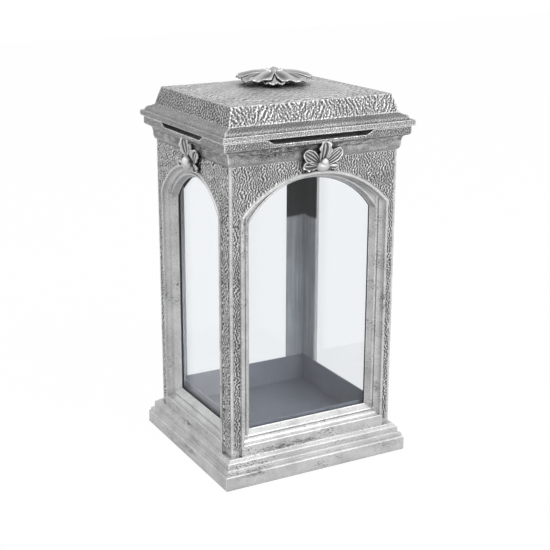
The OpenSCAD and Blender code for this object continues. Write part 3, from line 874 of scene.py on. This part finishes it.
def spoon_leaf(length, width, ribs, cup, rise, turn, place, jag, bank):
    """A ribbed, cupped leaf that grows from a narrow root at place, turned
    clockwise from straight up. jag notches its edge and bank tips it over
    towards its right."""
    rows, cols = 34, 37
    t = (0.5 - 0.5 * np.cos(np.linspace(0.12, 1, rows) * math.pi))[:, None]
    s = np.sin(np.linspace(-1, 1, cols) * math.pi / 2)[None, :]
    waist = 0.62
    far = np.where(t > waist, (t - waist) / (1 - waist), (waist - t) / waist)
    blade = np.where(t > waist, 1 - far**2.4, 1 - 0.86 * far**1.5)
    half = width / 2 * np.sqrt(np.maximum(blade, 0.004))
    side = np.abs(s) * smooth(0.3, 0.5, t)
    nick = jag * side**3 * np.cos(2 * math.pi * (3.2 * t + 0.2 * s))
    across = (half + nick) * s
    up = t * length * (1 - 0.05 * jag * np.cos(3 * math.pi * s) * t**3)
    near_edge = np.hypot(s, np.maximum(t - waist, 0) / (1 - waist) * (1 - 0.3 * np.abs(s)))
    rim = smooth(0.8, 0.93, near_edge)
    wave = (0.5 + 0.5 * np.cos(math.pi * ribs * s + 0 * t)) ** 1.6
    wave = wave * smooth(1.05, 0.8, t)
    body = rise * np.sin(t * 1.9) + cup * (s**2 - 0.35) * np.sin(math.pi * t**0.8)
    body = body - bank * across * smooth(0, 0.4, t)
    top = body + 0.8 * wave * (1 - rim) + 0.7 * rim
    under = body - LEAF_T * (1 - 0.45 * s**2)
    relief = np.clip(0.1 + 0.75 * wave * (1 - rim) + 0.72 * rim, 0, 0.9)
    a = math.radians(turn)

    def put(height):
        x = place[0] + across * math.cos(a) + up * math.sin(a)
        y = place[1] - across * math.sin(a) + up * math.cos(a)
        return np.stack([x, y, place[2] + height], -1)

    verts, faces = close_grid(put(top), put(under))
    # painted shade: the undersides get a low relief, dark as the shade behind the leaves
    return verts, faces, np.concatenate([relief.ravel(), np.full(relief.size, 0.25)])


def lathe_blob(profile, place, squash, relief):
    """A body turned about the wall's upright, flattened towards the wall, from
    [height, radius] pairs; its two ends close to a point."""
    turns = 28
    a = np.arange(turns) / turns * 2 * math.pi
    verts = []
    for height, radius in profile:
        ring = [np.cos(a) * radius, np.full(turns, height), np.sin(a) * radius * squash]
        verts.append(np.stack(ring, 1))
    verts = np.concatenate(verts)
    faces = [f[::-1] for f in grid_faces(len(profile), turns, closed=True)]
    ends = len(verts)
    low, high = profile[0][0], profile[-1][0]
    verts = np.concatenate([verts, [(0, low - 0.1, 0), (0, high + 0.1, 0)]])
    last = ends - turns
    for k in range(turns):
        j = (k + 1) % turns
        faces.append((j, k, ends))
        faces.append((last + k, last + j, ends + 1))
    return verts + np.array(place), faces, np.full(len(verts), relief)


def ball_profile(radius):
    """Heights and radii of a ball, without its poles."""
    steps = 14
    angles = [math.pi * k / steps for k in range(1, steps)]
    return [(-radius * math.cos(a), radius * math.sin(a)) for a in angles]


def pear_profile():
    """Heights and radii of the pod under the berry, from its foot up."""
    steps, foot, length, radius, taper = 20, -7.6, 9.6, 6.5, 0.36
    rows = []
    for k in range(1, steps):
        t = k / steps
        swell = math.sin(math.pi * t) ** 0.6
        rows.append((foot + length * t, radius * swell * (1 - taper * t)))
    return rows


def make_spray(name, place, middle, berry, leaves, material, replaced):
    """The berry on its pod, with ribbed leaves over it and plainer ones beside
    it. middle is the pod's place on the wall. berry holds how far the berry is
    to its right, the berry's height off the wall, the pod's own and the berry's
    radius. leaves holds each leaf's sizes and its root, as seen from middle."""
    x, y = middle
    aside, berry_off, pod_off, berry_r = berry
    parts = [
        lathe_blob(ball_profile(berry_r), (x + aside, y, berry_off), 1.0, 0.95),
        lathe_blob(pear_profile(), (x, y, pod_off), 0.8, 0.72),
    ]
    for length, width, ribs, cup, rise, turn, root, jag, bank in leaves:
        start = (x + root[0], y + root[1], root[2])
        parts.append(spoon_leaf(length, width, ribs, cup, rise, turn, start, jag, bank))
    verts, faces, relief = join(parts)
    verts[:, 2] = np.maximum(verts[:, 2], BURIED_Z)
    spray = add_piece(
        name, place(verts), faces, material, "lantern_case",
        relief=relief,
    )
    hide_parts(replaced)


# Each leaf's length, width, ribs, cup, rise, heading in degrees clockwise from
# straight up, root, jag and bank.
FRONT_LEAVES = (
    (14.8, 9.0, 3, 1.6, 4.6, 0, (-0.8, -0.4, 2.0), 0.7, 0.0),
    (14.6, 8.8, 4, 1.2, 3.0, -57, (-3.9, -0.4, 1.9), 0.2, 0.0),
    (15.2, 7.8, 4, 1.0, 3.0, 51, (1.0, -1.6, 1.9), 0.3, 0.0),
    (12.8, 5.6, 2, 1.6, 2.4, -87, (-3.6, -2.6, 1.4), 0.6, 0.0),
    (8.2, 5.2, 1, -1.2, 2.0, 94, (3.4, -3.0, 1.2), 0.1, 0.0),
)
SIDE_LEAVES = (
    (13.8, 6.8, 3, 0.3, 1.4, -12, (1.0, 1.6, 2.4), 0.5, 0.55),
    (10.0, 2.8, 1, 0.2, 2.6, 3, (7.8, 2.2, 1.2), 0.0, 0.3),
    (13.0, 8.4, 3, 1.4, 2.6, 46, (9.8, -0.6, 1.6), 0.4, 0.2),
    (9.0, 5.6, 1, 1.6, 1.6, 100, (8.6, -2.8, 1.4), 0.2, 0.0),
    (11.0, 5.6, 1, 1.4, 2.0, -84, (-2.4, -3.6, 1.4), 0.5, 0.0),
)


def petal(turn, length, spread, root_z, tip_z, ruffle, seed, lean=0.0, swell=1.0):
    """A broad petal that stays level and then droops, with a fold down its
    middle, a hollow on either side and a scalloped edge. turn is its heading
    and spread its half angle, in degrees. lean lifts and shortens one side of
    it, and swell is the height of its fold."""
    rows, cols = 36, 57
    t = np.linspace(0.1, 1, rows)[:, None]
    s = np.linspace(-1, 1, cols)[None, :]
    jag = noise(s * 4.5 + seed * 7.3, 0 * s + 0.5, seed)
    scallop = 0.5 * np.cos(8 * math.pi * s + seed) + 0.9 * jag
    reach = length * (1 - 0.13 * np.abs(s) ** 3.4) * (1 + ruffle * 0.03 * scallop)
    reach = reach * (1 - 0.1 * lean * s)
    radius = t * reach
    angle = math.radians(turn) + s * np.radians(spread * (1.35 - 0.35 * t))
    fold = np.exp(-(((s - 0.1 * lean) / 0.2) ** 2)) * np.sin(math.pi * np.minimum(t * 1.05, 1))
    hollow = np.exp(-(((np.abs(s) - 0.52) / 0.27) ** 2)) * np.sin(math.pi * t**1.3)
    curl = 0.7 * smooth(0.75, 1.0, np.abs(s)) * smooth(0.3, 0.8, t)
    lip = ruffle * 0.6 * np.sin(9 * s + seed * 1.7) * t**7
    z = root_z + (tip_z - root_z) * t**2.4 + 0.9 * np.sin(math.pi * t)
    z = z + 1.2 * swell * fold - 1.7 * hollow + curl + lip + 1.1 * lean * s * t**2
    side, end = smooth(0.9, 1.0, np.abs(s)) + 0 * t, smooth(0.93, 1.0, t) + 0 * s
    edge = np.maximum(side, end)
    relief = np.clip(0.62 + 0.2 * fold - 0.45 * hollow + 0.1 * edge, 0, 0.82)
    top = np.stack([radius * np.cos(angle), radius * np.sin(angle), z - 0.4 * edge**2], -1)
    under = top.copy()
    under[..., 2] -= LEAF_T * (1 - 0.3 * edge)
    verts, faces = close_grid(top, under)
    faces = [face[::-1] for face in faces]
    # painted shade: the undersides get a low relief, dark as the shade beneath the petals
    return verts, faces, np.concatenate([relief.ravel(), np.full(relief.size, 0.1)])


def hub(radius, low, high, relief):
    """An upright core with rounded edges, between two heights."""
    turns, soft = 40, 0.8
    a = np.arange(turns) / turns * 2 * math.pi
    rings = ((low, radius - soft), (low + soft, radius), (high - soft, radius))
    rings += ((high, radius - soft),)
    verts = np.concatenate(
        [np.stack([np.cos(a) * r, np.sin(a) * r, np.full(turns, z)], 1) for z, r in rings]
    )
    faces = grid_faces(len(rings), turns, closed=True)
    faces.append(tuple(range(turns - 1, -1, -1)))
    faces.append(tuple(range(3 * turns, 4 * turns)))
    return verts, faces, np.full(len(verts), relief)


def beads(headings, ring, radius, z):
    """Small stamens round the button."""
    parts = []
    for heading in headings:
        a = math.radians(heading)
        place = (ring * math.cos(a), ring * math.sin(a), 0)
        verts, faces, relief = lathe_blob(ball_profile(radius), (0, 0, 0), 1.0, 0.85)
        verts = np.stack([verts[:, 0], -verts[:, 2], verts[:, 1] * 1.2 + z], 1) + place
        parts.append((verts, faces, relief))
    return parts


def make_rosette(material):
    """Five ruffled petals round a button, over five leaves."""
    top = TOP_Z + DOME_RISE
    # painted shade: the core's low relief paints it dark under the leaves
    leaves = [hub(7.6, top - 0.6, top + 5, 0.3)]
    # each leaf's heading in degrees, and its tip's height over the dome
    droops = {243: 5.7, 315: 7.0, 27: 6.8, 99: 6.8, 171: 7.2}
    for k, (turn, tip) in enumerate(droops.items()):
        leaves.append(petal(turn, 23.8, 22, top + 8.0, top + tip, 0.9, 11 + k))
    verts, faces, relief = join(leaves)
    under = add_piece(
        "rosette_lower_leaves", verts, faces, material, "lid",
        relief=relief,
    )
    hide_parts("rosette_leaves")
    # painted shade: this core's low relief paints it dark under the petals
    petals = [hub(6.4, top + 4.2, top + 9.4, 0.3)]
    # each petal's heading, length, tip's height, lean and height of fold
    sizes = {
        206: (25.0, 7.2, 1.0, 1.0),
        279: (25.0, 7.0, -1.0, 1.0),
        351: (27.6, 7.8, 0.0, 0.7),
        63: (24.0, 9.0, 0.0, 1.5),
        135: (27.0, 7.8, 0.0, 0.7),
    }
    for k, (turn, (length, tip, lean, swell)) in enumerate(sizes.items()):
        petals.append(petal(turn, length, 31, top + 10.4, top + tip, 1.0, 31 + k, lean, swell))
    petals += beads((203, 281, 353, 61, 129), 5.4, 1.6, top + 10.8)
    verts, faces, relief = join(petals)
    bloom = add_piece(
        "rosette_bloom", verts, faces, material, "lid",
        relief=relief,
    )
    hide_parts("rosette_petals")


bpy.context.scene.view_settings.view_transform = "Standard"
make_camera()
make_world()
make_floor()
make_lamp("key", (0.35, -1.7, 1.5), LANTERN_MIDDLE, size=1.6, power=42)
make_lamp("left_fill", (-1.7, -0.3, 1.2), LANTERN_MIDDLE, size=1.6, power=8)

# Places that kept most patina: a middle and a reach along x, y and z.
CORNICE_STAINS = (
    ((-30.0, -62.0, 237.0), (34.0, 6.0, 5.0)),
    ((-68.0, -12.0, 236.0), (6.0, 50.0, 5.0)),
)
STAINS = (
    ((-20.0, -60.5, 23.5), (42.0, 7.0, 3.2)),
    ((-52.0, -67.0, 10.5), (17.0, 7.0, 3.6)),
    ((52.6, -60.5, 37.0), (3.0, 6.0, 9.0)),
    ((54.0, -60.5, 156.0), (2.6, 6.0, 22.0)),
    ((52.5, -60.5, 98.0), (2.8, 6.0, 18.0)),
    ((-67.0, 41.0, 34.5), (6.0, 3.5, 6.0)),
    ((-70.0, 8.0, 21.8), (6.0, 13.0, 3.0)),
    ((-75.0, -7.0, 8.2), (6.0, 17.0, 2.6)),
    ((-66.0, 37.0, 192.6), (5.0, 8.0, 1.4)),
    ((57.5, -60.5, 120.0), (2.0, 6.0, 12.0)),
    ((55.0, -60.5, 52.0), (2.6, 6.0, 7.0)),
)
metal = cast_metal(
    "cast_metal", 0.53, grain=0.14, pits=0.9, wear=0.5, top=1.3, hollows=0.34, stains=STAINS
)
plinth_metal = cast_metal(
    "plinth_metal", 0.5, grain=0.14, pits=0.9, wear=0.6, top=1.12, hollows=0.3, stains=STAINS
)
front_skin = cast_metal(
    "front_skin_metal", 0.36, relief=True, grain=0.15, pits=0, wear=0, crest=1.75
)
side_skin = cast_metal(
    "side_skin_metal", 0.42, relief=True, grain=0.15, pits=0, wear=0, furrow=0.04, crest=1.9
)
lid_metal = cast_metal(
    "lid_metal", 0.48, relief=True, grain=0.3, pits=0, wear=0, furrow=0.12, crest=1.45
)
cornice_metal = cast_metal(
    "cornice_metal", 0.42, relief=True, grain=0.3, pits=0.5, furrow=0.1, stains=CORNICE_STAINS
)
ring_metal = cast_metal("ring_metal", 0.3)
button_metal = cast_metal("button_metal", 0.4, wear=0.2)
carved = cast_metal(
    "carved_metal", 0.5, relief=True, grain=0.1, pits=0.2, wear=0.3, furrow=0.05, crest=1.45
)
# painted light: a lighter, less furrowed copy of carved_metal for the side sprays, where the lamps
# light the walls less
side_carved_painted_light = cast_metal(
    "side_carved_metal_painted_light", 0.55, relief=True, grain=0.1, pits=0.2, wear=0.3, furrow=0.02, crest=1.7
)
floor_paint = dark_paint("floor_paint", (0.125, 0.133, 0.155), 0.5, corners=0.025)
paint = dark_paint("dark_paint", (0.165, 0.174, 0.2), 0.5, corners=0.025)
# corner strips blackened above 164 mm on their inner faces; the back left strip is left plain and
# lighter
dark_topped = dark_paint("dark_topped_paint", (0.3, 0.315, 0.335), 0.7, dark_above=164)
plain_strip = dark_paint("plain_strip_paint", (0.36, 0.375, 0.4), 0.5, corners=0.01)
rubber = dark_paint("rubber", (0.05, 0.052, 0.06), 0.7)
steel = dark_paint("steel", (0.4, 0.4, 0.4), 0.35)
glass = clear_glass("glass")

dress(metal, "front_panel", "back_panel", "left_panel", "right_panel")
dress(plinth_metal, "base_plinth")
dress(button_metal, "rosette_button")
dress(ring_metal, "cornice_ring")
dress(floor_paint, "floor_plate")
dress(paint, "glass_skirt")
dress(dark_topped, "strip_front_left", "strip_front_right", "strip_back_right")
dress(plain_strip, "strip_back_left")
dress(glass, "front_glass", "back_glass", "left_glass", "right_glass")
dress(rubber, "front_seal", "back_seal", "left_seal", "right_seal", "rubber_feet")
dress(steel, "base_screws", "cornice_screws", "lid_washer", "lid_nut")

wall_texture("front_texture", on_front, HW - ARRIS, FRONT_HALF, 1, front_skin)
wall_texture("back_texture", on_back, HW - ARRIS, FRONT_HALF, 2, front_skin)
wall_texture("left_texture", on_left, HD - ARRIS, SIDE_HALF, 3, side_skin, 1.2, 0.8)
wall_texture("right_texture", on_right, HD - ARRIS, SIDE_HALF, 4, side_skin, 1.2, 0.8)
make_lid(lid_metal)
make_cornice(cornice_metal)
pod_z = APEX_Z + POD_UP
front_berry, side_berry = (0.0, 4.4, 1.3, 2.6), (2.6, 4.2, 2.0, 3.1)
make_spray(
    "spray_front_leaves", on_front, (4.2, pod_z), front_berry, FRONT_LEAVES, carved, "spray_front"
)
make_spray(
    "spray_back_leaves", on_back, (0.0, pod_z), front_berry, FRONT_LEAVES, carved, "spray_back"
)
side_middle = (-1.0, pod_z - 2.6)
make_spray(
    "spray_left_leaves", on_left, side_middle, side_berry, SIDE_LEAVES, side_carved_painted_light, "spray_left"
)
make_spray(
    "spray_right_leaves", on_right, side_middle, side_berry, SIDE_LEAVES, side_carved_painted_light, "spray_right"
)
make_rosette(carved)
